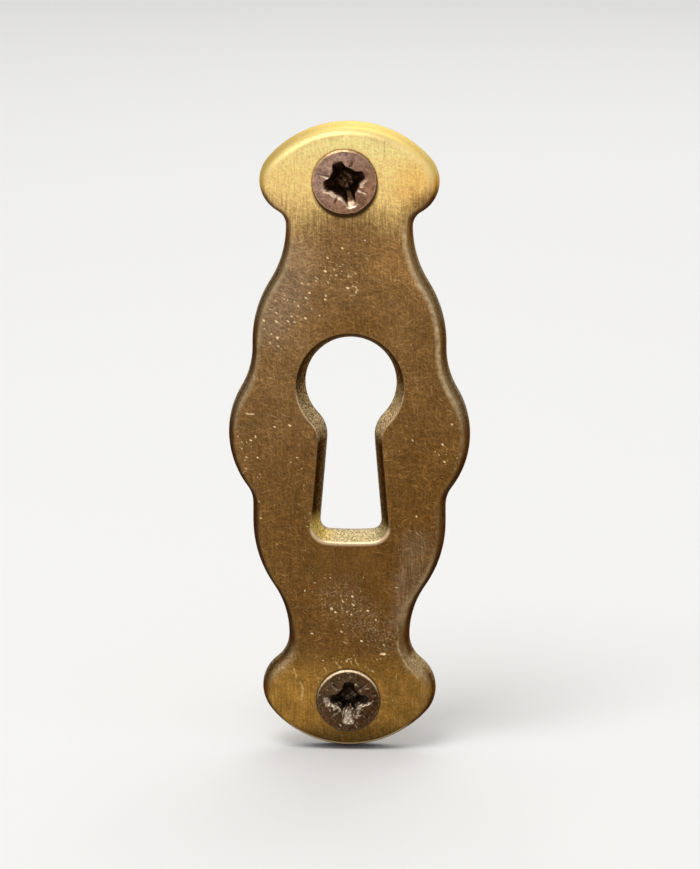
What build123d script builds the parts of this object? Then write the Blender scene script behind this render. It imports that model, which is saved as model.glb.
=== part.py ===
from build123d import *
import os
from math import cos, radians, sin, sqrt, tan

# A keyhole escutcheon: one cast brass plate and the two wood screws that hold it to a door.
# It stands as it hangs on the door: +Z up, the plate's flat back in the plane Y = 0, its front towards -Y.
# The origin is on the back face, in the middle of the widest bulge. Sizes are in millimetres and degrees.

# Plate section
plate_thickness = 2.5
wall_draft = 13.0  # the outer wall leans back from the front
front_round = 0.4  # round-over along the outline's front edge

# Back outline, shared by both ends: half widths from the centre line, and the radii of the swells
bulge_half = 11.1
bulge_radius = 8.55
waist_half = 8.9
shoulder_radius = 10.8

# Back outline, top end, from the bulge to the tip
top_notch_radius = 7.4
top_waist_length = 0.4  # straight stretch between notch and shoulder
top_flank_radius = 9.6
top_neck_half = 5.8
top_under_ear_radius = 1.45
top_ear_half = 8.2
top_ear_radius = 3.25
top_cap_height = 5.5  # of the tip over the widest part of the ears

# Back outline, bottom end, from the bulge to the tip
bottom_notch_radius = 2.6
bottom_waist_length = 1.7
bottom_flank_radius = 8.2
bottom_neck_half = 5.6
bottom_under_ear_radius = 2.8
bottom_ear_half = 8.05
bottom_ear_radius = 3.6
bottom_cap_height = 5.55

# Keyhole, as it is at the back face
keyhole_side = 0.15  # of its middle to the right of the plate's
bow_radius = 4.15
bow_height = 4.8  # of the bow's centre
slot_neck_width = 4.05  # where the slot's sides meet the bow
slot_foot_width = 5.7
foot_depth = 8.9  # of the slot's foot below the plate's centre
foot_dip = 0.15  # how far the foot's middle hangs below its ends
foot_corner_radius = 0.85
bow_blend_radius = 3.0  # where the slot opens into the bow
keyhole_draft = 17.0  # its walls open towards the front
keyhole_bevel = 0.15  # edge break around its front

# Countersunk wood screw
head_diameter = 5.9
head_angle = 90.0
head_land = 0.2  # straight rim above the cone
neck_diameter = 2.2
neck_length = 0.55
thread_diameter = 3.0
screw_length = 16.0
tip_length = 3.2
tip_diameter = 0.3

# Cross recess in the head, with a tick mark between each two wings
recess_width = 3.9  # across the wings at the top
recess_foot_width = 1.5
recess_core_diameter = 2.4  # of the round core where the wings meet
recess_depth = 1.7
wing_width = 1.0
tick_start = 1.35  # from the middle of the head
tick_length = 1.1
tick_width = 0.22
tick_depth = 0.12

# Screw holes, and how each screw sits in its own
hole_clearance = 0.2  # around the thread
seat_clearance = 0.04  # between the head's cone and the countersink, square to the cone
top_screw_past_ears = 0.3  # towards the tip from the widest part of the ears
top_screw_side = -0.35  # the top hole was drilled a little off the middle
top_screw_rise = 0.24  # of the head's top over the plate's front
top_screw_tilt = 0.0
top_screw_turn = 21.0
bottom_screw_past_ears = 0.68
bottom_screw_side = 0.0
bottom_screw_rise = 0.1
bottom_screw_tilt = 2.0  # driven askew: the upper side of the head stands out
bottom_screw_turn = 0.0

head_radius = head_diameter / 2
cone_side = radians(head_angle / 2)  # between the screw's axis and the cone's side
cut_margin = plate_thickness  # how far a countersink's cone is carried past the front

os.makedirs("parts", exist_ok=True)


def rise_between(swell_side, swell_radius, hollow_half, hollow_radius):
    """Height over a swell of the hollow that touches it and is narrowest at hollow_half."""
    across = hollow_half + hollow_radius - swell_side
    return sqrt((swell_radius + hollow_radius) ** 2 - across**2)


def meeting(centre_1, radius_1, centre_2, radius_2):
    """Point where two circles touch from outside; a negative radius stands for a circle inside the other."""
    share = radius_1 / (radius_1 + radius_2)
    return tuple(a + (b - a) * share for a, b in zip(centre_1, centre_2))


def lay_out_end(
    notch_radius,
    waist_length,
    flank_radius,
    neck_half,
    under_ear_radius,
    ear_half,
    ear_radius,
    cap_height,
):
    """Arcs (start, end, radius) up one end's right-hand edge, from bulge to tip, and its ears' height."""
    bulge = (bulge_half - bulge_radius, 0)
    notch_height = rise_between(bulge[0], bulge_radius, waist_half, notch_radius)
    notch = (waist_half + notch_radius, notch_height)
    shoulder_height = notch_height + waist_length
    shoulder = (waist_half - shoulder_radius, shoulder_height)
    neck_height = shoulder_height + rise_between(shoulder[0], shoulder_radius, neck_half, flank_radius)
    flank = (neck_half + flank_radius, neck_height)
    under_ear = (neck_half + under_ear_radius, neck_height)
    ear_side = ear_half - ear_radius
    ear_height = neck_height + rise_between(ear_side, ear_radius, neck_half, under_ear_radius)
    ear = (ear_side, ear_height)
    cap_radius = (ear_side**2 + cap_height**2 - ear_radius**2) / (2 * (cap_height - ear_radius))
    cap = (0, ear_height + cap_height - cap_radius)

    bulge_end = meeting(bulge, bulge_radius, notch, notch_radius)
    shoulder_end = meeting(shoulder, shoulder_radius, flank, flank_radius)
    ear_start = meeting(under_ear, under_ear_radius, ear, ear_radius)
    ear_end = meeting(cap, cap_radius, ear, -ear_radius)
    arcs = [
        ((bulge_half, 0), bulge_end, -bulge_radius),
        (bulge_end, (waist_half, notch_height), notch_radius),
        ((waist_half, shoulder_height), shoulder_end, -shoulder_radius),
        (shoulder_end, (neck_half, neck_height), flank_radius),
        ((neck_half, neck_height), ear_start, under_ear_radius),
        (ear_start, ear_end, -ear_radius),
        (ear_end, (0, ear_height + cap_height), -cap_radius),
    ]
    return arcs, ear_height


def screw_seat(side, height, rise, tilt):
    """Plane of a screw head's top, facing out of the plate's front."""
    outwards = (0, -cos(radians(tilt)), sin(radians(tilt)))
    return Plane(origin=(side, -plate_thickness - rise, height), x_dir=(1, 0, 0), z_dir=outwards)


top_arcs, top_ear_height = lay_out_end(
    top_notch_radius,
    top_waist_length,
    top_flank_radius,
    top_neck_half,
    top_under_ear_radius,
    top_ear_half,
    top_ear_radius,
    top_cap_height,
)
bottom_arcs, bottom_ear_height = lay_out_end(
    bottom_notch_radius,
    bottom_waist_length,
    bottom_flank_radius,
    bottom_neck_half,
    bottom_under_ear_radius,
    bottom_ear_half,
    bottom_ear_radius,
    bottom_cap_height,
)
top_seat = screw_seat(
    top_screw_side, top_ear_height + top_screw_past_ears, top_screw_rise, top_screw_tilt
)
bottom_seat = screw_seat(
    bottom_screw_side, -bottom_ear_height - bottom_screw_past_ears, bottom_screw_rise, bottom_screw_tilt
)

# Plate: cast with drafted walls and a rounded front, a keyhole through the middle, countersunk at both ends
with BuildPart() as plate:
    with BuildSketch(Plane.XZ):
        with BuildLine():
            for way, arcs in ((1, top_arcs), (-1, bottom_arcs)):
                for start, end, radius in arcs:
                    RadiusArc((start[0], way * start[1]), (end[0], way * end[1]), way * radius)
                notch_end, shoulder_start = arcs[1][1], arcs[2][0]
                Line((waist_half, way * notch_end[1]), (waist_half, way * shoulder_start[1]))
            mirror(about=Plane.YZ)
        make_face()
    extrude(amount=plate_thickness)
    draft(plate.faces().filter_by(Axis.Y, reverse=True), Plane.XZ, wall_draft)
    fillet(plate.faces().sort_by(Axis.Y)[0].edges(), front_round)

    slot_neck_height = bow_height - sqrt(bow_radius**2 - (slot_neck_width / 2) ** 2)
    with BuildSketch(Plane.XZ.shift_origin((keyhole_side, 0, 0))) as keyhole:
        with Locations((0, bow_height)):
            Circle(bow_radius)
        with BuildLine():
            foot = ThreePointArc(
                (-slot_foot_width / 2, -foot_depth),
                (0, -foot_depth - foot_dip),
                (slot_foot_width / 2, -foot_depth),
            )
            Polyline(
                foot @ 1,
                (slot_neck_width / 2, slot_neck_height),
                (0, bow_height),
                (-slot_neck_width / 2, slot_neck_height),
                foot @ 0,
            )
        make_face()
        fillet(keyhole.vertices().group_by(Axis.Y)[1], bow_blend_radius)
        fillet(keyhole.vertices().group_by(Axis.Y)[0], foot_corner_radius)
    extrude(amount=plate_thickness, mode=Mode.SUBTRACT)
    draft(plate.faces(Select.LAST).filter_by(Axis.Y, reverse=True), Plane.XZ, keyhole_draft)
    chamfer(plate.faces().sort_by(Axis.Y)[0].inner_wires()[0].edges(), keyhole_bevel)

    # Each countersink is cut along its screw's axis, so a screw driven askew still beds on its whole cone
    sink_radius = head_radius + seat_clearance / cos(cone_side) + (head_land + cut_margin) * tan(cone_side)
    with Locations(top_seat.offset(cut_margin), bottom_seat.offset(cut_margin)):
        CounterSinkHole(thread_diameter / 2 + hole_clearance, sink_radius, counter_sink_angle=head_angle)

plate.part.label = "escutcheon_plate"
export_step(plate.part, "parts/escutcheon_plate.step")

# One screw, head up with its top at the origin; a plain cylinder over the crests stands for the thread
with BuildPart() as screw:
    neck_radius = neck_diameter / 2
    thread_radius = thread_diameter / 2
    cone_foot = head_land + (head_radius - neck_radius) / tan(cone_side)
    neck_foot = cone_foot + neck_length
    thread_lead = thread_radius - neck_radius
    with BuildSketch(Plane.XZ):
        with BuildLine():
            Polyline(
                (0, 0),
                (head_radius, 0),
                (head_radius, -head_land),
                (neck_radius, -cone_foot),
                (neck_radius, -neck_foot),
                (thread_radius, -neck_foot - thread_lead),
                (thread_radius, tip_length - screw_length),
                (tip_diameter / 2, -screw_length),
                (0, -screw_length),
                close=True,
            )
        make_face()
    revolve(axis=Axis.Z)

    with BuildSketch(Plane.XZ, Plane.YZ):
        with BuildLine():
            Polyline(
                (-recess_width / 2, 0),
                (recess_width / 2, 0),
                (recess_foot_width / 2, -recess_depth),
                (-recess_foot_width / 2, -recess_depth),
                close=True,
            )
        make_face()
    extrude(amount=wing_width / 2, both=True, mode=Mode.SUBTRACT)
    with Locations((0, 0, -recess_depth / 2)):
        Cone(recess_foot_width / 2, recess_core_diameter / 2, recess_depth, mode=Mode.SUBTRACT)
    with PolarLocations(tick_start + tick_length / 2, 4, start_angle=45):
        Box(tick_length, tick_width, 2 * tick_depth, mode=Mode.SUBTRACT)

# Both screws, each bedded in its countersink and turned as it was left
with BuildPart() as screws:
    with Locations(
        top_seat.location * Rotation(0, 0, top_screw_turn),
        bottom_seat.location * Rotation(0, 0, bottom_screw_turn),
    ):
        add(screw.part)

screws.part.label = "fixing_screws"
export_step(screws.part, "parts/fixing_screws.step")
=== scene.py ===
import math
from functools import reduce

import bmesh
import bpy
import numpy as np
from mathutils import Matrix, Vector, geometry, noise


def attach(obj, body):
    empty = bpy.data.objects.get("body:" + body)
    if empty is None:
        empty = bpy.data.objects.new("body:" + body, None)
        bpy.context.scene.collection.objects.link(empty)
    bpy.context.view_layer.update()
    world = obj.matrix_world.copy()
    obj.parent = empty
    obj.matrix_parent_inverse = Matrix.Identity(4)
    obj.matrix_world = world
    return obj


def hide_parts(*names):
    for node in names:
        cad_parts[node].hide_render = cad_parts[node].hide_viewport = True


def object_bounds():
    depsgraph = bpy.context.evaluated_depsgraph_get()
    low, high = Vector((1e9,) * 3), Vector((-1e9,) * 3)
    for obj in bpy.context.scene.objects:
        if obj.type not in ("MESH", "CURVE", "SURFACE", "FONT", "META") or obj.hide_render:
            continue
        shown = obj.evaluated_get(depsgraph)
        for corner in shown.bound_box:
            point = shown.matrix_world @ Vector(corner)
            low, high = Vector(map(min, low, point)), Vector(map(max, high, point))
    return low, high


# Looks of a worn brass keyhole escutcheon with its two wood screws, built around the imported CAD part.
# Meshes are worked out in millimetres and scaled to metres when they are made.

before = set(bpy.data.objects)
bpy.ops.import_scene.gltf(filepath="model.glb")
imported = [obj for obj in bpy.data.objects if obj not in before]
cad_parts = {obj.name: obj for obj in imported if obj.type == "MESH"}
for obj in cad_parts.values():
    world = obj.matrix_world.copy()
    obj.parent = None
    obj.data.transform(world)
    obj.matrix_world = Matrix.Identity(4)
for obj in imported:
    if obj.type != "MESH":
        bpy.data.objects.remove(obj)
cad_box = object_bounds()

MM = 0.001

# Camera, fitted to the photograph of 700 x 869 pixels
IMAGE_HEIGHT = 869
FOCAL_PIXELS = 4371
CAMERA_ELEVATION = math.radians(12.6)
CAMERA_AZIMUTH = math.radians(2.7)
CAMERA_DISTANCE = 400
CAMERA_TARGET = (0.11, -1.25, 0.09)
SENSOR_SIZE = 36

# Plate: the CAD part's sizes, with softer edges
THICKNESS = 2.5
WALL_DRAFT = math.radians(13)
KEYHOLE_DRAFT = math.radians(17)
FRONT_ROUND = 0.6  # worn softer than the CAD part's
WORN_ROUND = 1.2  # where it is worn most
KEYHOLE_LIP = 0.2  # edge break around the keyhole
FOOT_LIP = 0.52  # and at the keyhole's foot
FOOT_LIP_RANGE = (-7.6, -8.8)  # heights over which it comes in
EDGE_ROWS = 13  # over the rounded front edge
LIP_ROWS = 9
WALL_ROWS = 8
WALL_START = 0.16  # depth of the first of them
OUTLINE_STEP = 0.1
FRONT_STEP = 0.2
BACK_STEP = 0.45
GRID_GAP = 0.55  # of a step, between the grid and a border
DENT_GAP = 0.05  # between a dent's points and a border
CURVE_STEPS = 12  # between two points of the CAD outline
# Rows at a wall's back edge: offset, y, how far each is wall and how far edge
BACK_ROWS = [(0.5, 0, 0, 0), (0.14, 0, 0, 0.3), (0.05, -0.01, 0.3, 0.6), (0.02, -0.05, 0.8, 0.5)]
FRONT_ROWS = (0.12, 0.28)  # offsets on the flat front beside the edge
FRONT_WAVES = [(0.16, 1, 0.02), (0.6, 2, 0.004)]  # scale, seed and height of the front's unevenness
WALL_PITS = [(2.2, 3, 0.012), (5.0, 4, 0.008)]
PIT_LIMIT = 0.004
EDGE_BRUISES = [(0.9, 5, 0.03)]

# Screws: the CAD part's sizes, with a rounded rim and a thread
HEAD_RADIUS = 2.95
HEAD_LAND = 0.2
RIM_ROUND = 0.16
NECK_RADIUS = 1.1
NECK_END = 2.6
THREAD_RADIUS = 1.5
ROOT_RADIUS = 1.0
TIP_START = 12.8
SCREW_LENGTH = 16.0
TIP_RADIUS = 0.15
PITCH = 1.35
NECK_BLEND = 0.8  # length over which the neck passes into the thread's root
THREAD_LEAD = 1.0  # lengths over which the thread rises, and ends at the tip
THREAD_END = 0.3
TIP_ROOT = 0.12
RECESS_DEPTH = 1.7
RECESS_FOOT = 0.75
FOOT_CONE = 0.3  # deeper in the middle of the recess
HOLE_RADIUS = 1.7
SEAT_CLEARANCE = 0.04
RIM_GAP = 0.02  # between a head and the plate's front
TOP_SEAT = {"origin": (-0.35, -2.74, 23.6927), "tilt": 0.0}
BOTTOM_SEAT = {"origin": (0.0, -2.6, -24.7664), "tilt": math.radians(2)}
COLUMNS = 240  # around a screw
HOLE_COLUMNS = 120  # around its hole


def smoothstep(low, high, value):
    """0 at low, 1 at high and smooth between, also where high is below low."""
    share = np.clip((np.asarray(value, float) - low) / (high - low), 0, 1)
    return share * share * (3 - 2 * share)


def rough(points, scale, seed=0):
    """Perlin noise from about -1 to 1 at each point."""
    shift = Vector((seed * 17.3, seed * 5.1, seed * 9.7))
    return np.array([noise.noise(Vector(p) * scale + shift) for p in points])


def make_object(name, points, faces, values):
    """A mesh object from points in millimetres, with a number for each point under each name in values."""
    mesh = bpy.data.meshes.new(name)
    mesh.from_pydata((np.asarray(points) * MM).tolist(), [], faces)
    for key, numbers in values.items():
        attribute = mesh.attributes.new(key, "FLOAT", "POINT")
        attribute.data.foreach_set("value", np.asarray(numbers, np.float32))
    shape = bmesh.new()
    shape.from_mesh(mesh)
    bmesh.ops.remove_doubles(shape, verts=shape.verts, dist=1e-7)
    bmesh.ops.dissolve_degenerate(shape, edges=shape.edges, dist=1e-8)
    bmesh.ops.recalc_face_normals(shape, faces=shape.faces)
    for face in shape.faces:
        face.smooth = True
    shape.to_mesh(mesh)
    shape.free()
    piece = bpy.data.objects.new(name, mesh)
    bpy.context.scene.collection.objects.link(piece)
    return piece


def plane_loops(mesh, level):
    """Closed loops of points (x, z), in millimetres, round the mesh's faces in the plane y = level."""
    keys = [tuple(np.round(np.array(vertex.co) / MM, 4)) for vertex in mesh.vertices]
    edges = {}
    for face in mesh.polygons:
        corners = [keys[i] for i in face.vertices]
        if max(abs(y - level) for _, y, _ in corners) <= 1e-3:
            edges.update(dict.fromkeys(zip(corners, corners[1:] + corners[:1])))
    follows = {a: b for a, b in edges if (b, a) not in edges}
    loops = []
    while follows:
        loop = [next(iter(follows))]
        while loop[-1] in follows:
            loop.append(follows.pop(loop[-1]))
        loops.append(np.array(loop[:-1])[:, ::2])
    return loops


def signed_area(loop):
    x, z = loop[:, 0], loop[:, 1]
    return 0.5 * np.sum(x * np.roll(z, -1) - z * np.roll(x, -1))


def blend(t, start, end, first, second):
    """First at the start, second at the end and straight between."""
    return ((end - t) * first + (t - start) * second) / (end - start)


def smooth_loop(points, step):
    """Evenly spaced points on a centripetal Catmull-Rom curve through a closed loop's points."""
    p0, p1 = np.roll(points, 1, 0), points
    p2, p3 = np.roll(points, -1, 0), np.roll(points, -2, 0)
    gaps = [np.sqrt(np.linalg.norm(b - a, axis=1))[:, None] for a, b in ((p0, p1), (p1, p2), (p2, p3))]
    t1 = gaps[0]
    t2 = t1 + gaps[1]
    t3 = t2 + gaps[2]
    fine = []
    for share in np.arange(CURVE_STEPS) / CURVE_STEPS:
        t = t1 + gaps[1] * share
        a1, a2, a3 = blend(t, 0, t1, p0, p1), blend(t, t1, t2, p1, p2), blend(t, t2, t3, p2, p3)
        b1, b2 = blend(t, 0, t2, a1, a2), blend(t, t1, t3, a2, a3)
        fine.append(blend(t, t1, t2, b1, b2))
    fine = np.stack(fine, 1).reshape(-1, 2)
    closed = np.vstack([fine, fine[:1]])
    along = np.concatenate([[0], np.cumsum(np.linalg.norm(np.diff(closed, axis=0), axis=1))])
    count = int(round(along[-1] / step))
    places = np.arange(count) * along[-1] / count
    return np.stack([np.interp(places, along, closed[:, k]) for k in (0, 1)], 1)


def left_normals(loop):
    """Unit normals to the left of the way that a closed loop runs."""
    along = np.roll(loop, -2, 0) - np.roll(loop, 2, 0)
    along /= np.linalg.norm(along, axis=1)[:, None]
    return np.stack([-along[:, 1], along[:, 0]], 1)


def edge_profile(draft, soft, rows):
    """Rows (offset, y, wall, edge) from a wall's back edge over its rounded front edge to the front."""
    lean = math.tan(draft)
    corner = THICKNESS * lean
    turn = math.pi / 2 - draft
    reach = soft * math.tan(turn / 2)
    foot = THICKNESS - reach * math.cos(draft)
    wall_heights = np.linspace(WALL_START, foot, WALL_ROWS, endpoint=False)
    profile = list(BACK_ROWS)
    profile += [(height * lean, -height, 1, 0) for height in wall_heights]
    for angle in np.linspace(0, turn, rows):
        out = corner + reach - soft * math.sin(turn - angle)
        depth = THICKNESS - soft * (1 - math.cos(turn - angle))
        share = angle / turn
        ridge = math.sin(math.pi * share) ** 1.2
        profile.append((out, -depth, 1 - smoothstep(0.2, 0.9, share), ridge))
    return profile + [(corner + reach + flat, -THICKNESS, 0, 0) for flat in FRONT_ROWS]


class PlateMesh:
    """Points and faces of the plate, with what each point is part of."""

    def __init__(self):
        self.points = []
        self.faces = []
        self.values = {"wall": [], "edge": [], "keyhole": [], "back": []}
        self.front_rings = []
        self.back_rings = []

    def add_points(self, points, **values):
        first = len(self.points)
        self.points.extend(points)
        for key, numbers in self.values.items():
            value = values.get(key, 0)
            numbers.extend([value] * len(points))
        return list(range(first, first + len(points)))

    def add_rows(self, rows):
        """Faces between closed rows of points, from the back's border to the front's."""
        for row, other in zip(rows, rows[1:]):
            for i in range(len(row)):
                k = (i + 1) % len(row)
                self.faces.append((row[i], row[k], other[k], other[i]))
        self.back_rings.append(rows[0])
        self.front_rings.append(rows[-1])

    def add_wall(self, loop, profile, worn_profile, share, keyhole=0):
        """A wall round a loop at the back, up to the front, with its rows offset into the brass.

        Share says how far each of the loop's points has the worn profile.
        """
        normals = left_normals(loop)
        rows = []
        for (offset, y, wall, edge), (worn_offset, worn_y, _, _) in zip(profile, worn_profile):
            ring = loop + normals * (offset + (worn_offset - offset) * share)[:, None]
            depths = y + (worn_y - y) * share
            points = [(x, depth, z) for (x, z), depth in zip(ring, depths)]
            rows.append(self.add_points(points, wall=wall, edge=edge, keyhole=keyhole, back=float(y == 0)))
        self.add_rows(rows)

    def add_screw_hole(self, seat):
        """A countersunk hole along a screw's axis."""
        middle = Vector(seat["origin"])
        right, up, out = seat_axes(seat["tilt"])
        seat_radius = HEAD_RADIUS + SEAT_CLEARANCE * math.sqrt(2)
        foot, sink, mouth = [], [], []
        for angle in np.linspace(0, -2 * math.pi, HOLE_COLUMNS, endpoint=False):
            spoke = right * math.cos(angle) + up * math.sin(angle)
            bottom = middle + spoke * HOLE_RADIUS - out * (HEAD_LAND + seat_radius - HOLE_RADIUS)
            edge = middle + spoke * (HEAD_RADIUS + RIM_GAP) - out * HEAD_LAND
            foot.append(tuple(bottom - out * (bottom.y / out.y)))
            sink.append(tuple(bottom))
            mouth.append(tuple(edge + out * ((-THICKNESS - edge.y) / out.y)))
        rings = ((foot, 1), (sink, 0), (mouth, 0))
        self.add_rows([self.add_points(ring, wall=1, back=back) for ring, back in rings])

    def fill(self, rings, y, step, extra=(), back=0):
        """Triangles over the flat face between rings, the first of which is the outer one."""
        borders = [np.array([(self.points[i][0], self.points[i][2]) for i in ring]) for ring in rings]
        inside = clear_inside(borders, triangular_grid(borders[0], step), step * GRID_GAP)
        if len(extra):
            inside = np.vstack([inside, clear_inside(borders, extra, DENT_GAP)])
        known = [i for ring in rings for i in ring]
        known += self.add_points([(x, y, z) for x, z in inside], back=back)
        flat = [Vector((self.points[i][0], self.points[i][2])) for i in known]
        edges = []
        for ring in rings:
            first, size = len(edges), len(ring)
            edges += [(first + i, first + (i + 1) % size) for i in range(size)]
        _, _, faces, sources, _, _ = geometry.delaunay_2d_cdt(flat, edges, [], 0, 1e-7)
        triangles = np.array([group[0] for group in sources])[np.array(faces)]
        kept = triangles[between(borders, np.array(flat)[triangles].mean(1))]
        self.faces += np.array(known)[kept].tolist()


def inside_loop(loop, points):
    """Whether each point is inside a closed loop."""
    ends = np.roll(loop, -1, 0)
    inside = np.zeros(len(points), bool)
    for (x1, z1), (x2, z2) in zip(loop, ends):
        if z1 == z2:
            continue
        spans = (points[:, 1] < z1) != (points[:, 1] < z2)
        inside ^= spans & (points[:, 0] < x1 + (points[:, 1] - z1) * (x2 - x1) / (z2 - z1))
    return inside


def triangular_grid(border, step):
    """Points of a triangular grid over a border's box."""
    low, high = border.min(0), border.max(0)
    points = []
    for row, z in enumerate(np.arange(low[1], high[1], step * math.sqrt(0.75))):
        shift = step / 2 * (row % 2)
        points += [(x + shift, z) for x in np.arange(low[0], high[0], step)]
    return np.array(points)


def between(borders, points):
    """Whether each point is inside the first border and outside the others."""
    inside = inside_loop(borders[0], points)
    for border in borders[1:]:
        inside &= ~inside_loop(border, points)
    return inside


def clear_inside(borders, points, gap):
    """The points that lie between the borders, with that gap to each."""
    points = points[between(borders, points)]
    clear = np.ones(len(points), bool)
    for place in np.vstack(borders):
        clear &= np.linalg.norm(points - place, axis=1) > gap
    return points[clear]


def seat_axes(tilt):
    """Right, up and outward directions of a screw head."""
    return (
        Vector((1, 0, 0)),
        Vector((0, math.sin(tilt), math.cos(tilt))),
        Vector((0, -math.cos(tilt), math.sin(tilt))),
    )


OFF_GRID = np.array([0.013, 0.017])  # keeps the dents' points off those of the even grid

# Dents in the plate's front: x, z, half length, half width, turn in degrees, depth
DENTS = [
    (3.25, -20.3, 0.34, 0.15, 5, 0.09),
    (-8.9, 2.2, 0.5, 0.1, 0, 0.06),
    (2.6, -20.1, 0.2, 0.12, 30, 0.05),
    (-4.6, 8.9, 0.16, 0.12, 20, 0.05),
    (-5.3, 10.1, 0.14, 0.1, 70, 0.05),
    (-5.0, 11.6, 0.12, 0.1, 0, 0.05),
    (-3.2, 15.1, 0.14, 0.09, 45, 0.04),
    (9.6, 0.6, 0.16, 0.1, 60, 0.05),
    (-9.4, -2.4, 0.14, 0.12, 0, 0.05),
    (-4.4, -8.4, 0.12, 0.1, 0, 0.04),
]


def dent_axes(turn):
    """Directions along and across a dent, in columns."""
    cos, sin = math.cos(math.radians(turn)), math.sin(math.radians(turn))
    return np.array([[cos, -sin], [sin, cos]])


def dent_points():
    """Extra points of the front face, so that each dent has a fine mesh."""
    grid = np.array([(a, b) for a in np.linspace(-2, 2, 13) for b in np.linspace(-2, 2, 13)])
    spots = []
    for x, z, half_length, half_width, turn, _ in DENTS:
        spread = grid * (half_length, half_width) @ dent_axes(turn).T
        spots.append(spread + (x, z) + OFF_GRID)
    return np.vstack(spots)


def press_dents(points):
    """How far back each point of the front is pressed, less what is pushed up round the dents."""
    depth = np.zeros(len(points))
    for x, z, half_length, half_width, turn, deep in DENTS:
        spread = (points[:, ::2] - (x, z)) @ dent_axes(turn) / (half_length, half_width)
        far = np.hypot(*spread.T)
        depth += deep * (np.exp(-1.5 * far**2) - 0.35 * np.exp(-3 * (far - 1.3) ** 2))
    return depth


def uneven(points, waves):
    """Noise of several scales at each point."""
    return sum(rough(points, scale, seed) * height for scale, seed, height in waves)


def wear_plate(points, values):
    """The plate's points moved as casting, filing and use have left them."""
    wall, edge, keyhole = (np.asarray(values[key]) for key in ("wall", "edge", "keyhole"))
    front = smoothstep(-THICKNESS + 0.6, -THICKNESS, points[:, 1])
    near_front = points[:, 1] < -THICKNESS + 0.5
    points[near_front, 1] += press_dents(points[near_front])
    points[:, 1] += uneven(points, FRONT_WAVES) * front
    inward = np.array([0.0, -THICKNESS / 2, 0.0]) - points
    inward /= np.linalg.norm(inward, axis=1)[:, None]
    bruise = np.minimum(uneven(points, EDGE_BRUISES), 0)
    shift = np.minimum(uneven(points, WALL_PITS) * wall, PIT_LIMIT) + bruise * edge
    points -= inward * (np.minimum(shift, 0) * np.where(keyhole > 0, -1, 1))[:, None]
    return points


def edge_wear(x, z):
    """How far the outer edge is worn: fully on the lower right ear, less on the lower left and the top."""
    top = 0.6 * smoothstep(21.5, 25.0, z)
    right_ear = smoothstep(3.0, 5.0, x) * smoothstep(-13.0, -18.0, z)
    left_ear = 0.7 * smoothstep(-3.0, -5.0, x) * smoothstep(-17.0, -20.0, z)
    ears = np.maximum(right_ear, left_ear) * smoothstep(-26.5, -24.0, z)
    return np.maximum(top, ears)


def build_plate():
    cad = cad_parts["escutcheon_plate"].data
    loops = sorted(plane_loops(cad, 0.0), key=lambda loop: -abs(signed_area(loop)))
    outer, keyhole = loops[0], loops[1]
    if signed_area(outer) < 0:
        outer = outer[::-1]
    if signed_area(keyhole) > 0:
        keyhole = keyhole[::-1]
    plate = PlateMesh()
    outer = smooth_loop(outer, OUTLINE_STEP)
    keyhole = smooth_loop(keyhole, OUTLINE_STEP)
    profiles = [edge_profile(WALL_DRAFT, soft, EDGE_ROWS) for soft in (FRONT_ROUND, WORN_ROUND)]
    plate.add_wall(outer, *profiles, edge_wear(*outer.T))
    profiles = [edge_profile(KEYHOLE_DRAFT, soft, LIP_ROWS) for soft in (KEYHOLE_LIP, FOOT_LIP)]
    plate.add_wall(keyhole, *profiles, smoothstep(*FOOT_LIP_RANGE, keyhole[:, 1]), keyhole=1)
    for seat in (TOP_SEAT, BOTTOM_SEAT):
        plate.add_screw_hole(seat)
    plate.fill(plate.front_rings, -THICKNESS, FRONT_STEP, dent_points())
    plate.fill(plate.back_rings, 0, BACK_STEP, back=1)
    points = wear_plate(np.array(plate.points, float), plate.values)
    return make_object("plate", points, plate.faces, plate.values)


# The heads' looks, with directions and half angles in degrees. Wings of the recess: direction, length, half
# width. Its worn lips: direction, half angle, width, drop. What fills it: direction, half angle, share. The
# rim, rubbed and painted with a highlight on its lit side: direction, half angle, strength, width, drop.
# A bump on the rim: direction, size.
TOP_LOOK = {
    "wings": [(20, 2.02, 0.4), (111, 2.0, 0.48), (192, 1.95, 0.46), (288, 2.1, 0.44)],
    "core": 1.42,
    "lips": [(237, 47, 0.28, 0.26), (288, 16, 0.36, 0.42), (354, 14, 0.3, 0.26)],
    # strength of the painted highlight on the tick marks
    "ticks": (69, 164, 246, 332),
    "tick_shine": 0.8,
    "fill": [],
    "rim": (135, 105, 0.75, 0.22, 0.18),
    "bump": (284, 0.05),
    "chips": 0.0,
    "seed": 11,
}
BOTTOM_LOOK = {
    "wings": [(0, 1.95, 0.34), (88, 1.7, 0.44), (180, 1.85, 0.36), (270, 2.0, 0.42)],
    "core": 1.14,
    "lips": [(198, 27, 0.38, 0.16), (270, 18, 0.3, 0.2), (335, 24, 0.26, 0.16)],
    "ticks": (42, 137, 226, 314),
    # strength of the painted highlight on the tick marks
    "tick_shine": 0.35,
    "fill": [(270, 40, 0.62), (212, 26, 0.4), (328, 26, 0.4)],
    "rim": (92, 92, 1.0, 0.32, 0.22),
    "bump": (250, 0.0),
    "chips": 1.0,
    "seed": 23,
}
WING_TAPER = 0.2
WING_REACH = 0.2  # least cosine of the angle at which a wing shapes the outline
ROUNDINGS = 14  # passes that round the outline's corners
RECESS_ROWS = 13
FOOT_SHARES = (0.35, 0.7)
RIM_ROWS = 8
TICK_INNER = 0.3  # half width beside the recess
TICK_OUTER = 0.1  # and at the other end
TICK_TAPER = (1.3, 2.2)  # distances of both from the middle of the head
TICK_START = (1.25, 1.4)  # distances over which a mark comes in
TICK_END = (2.4, 2.1)  # and over which it ends
TICK_DEPTH = 0.15
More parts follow.
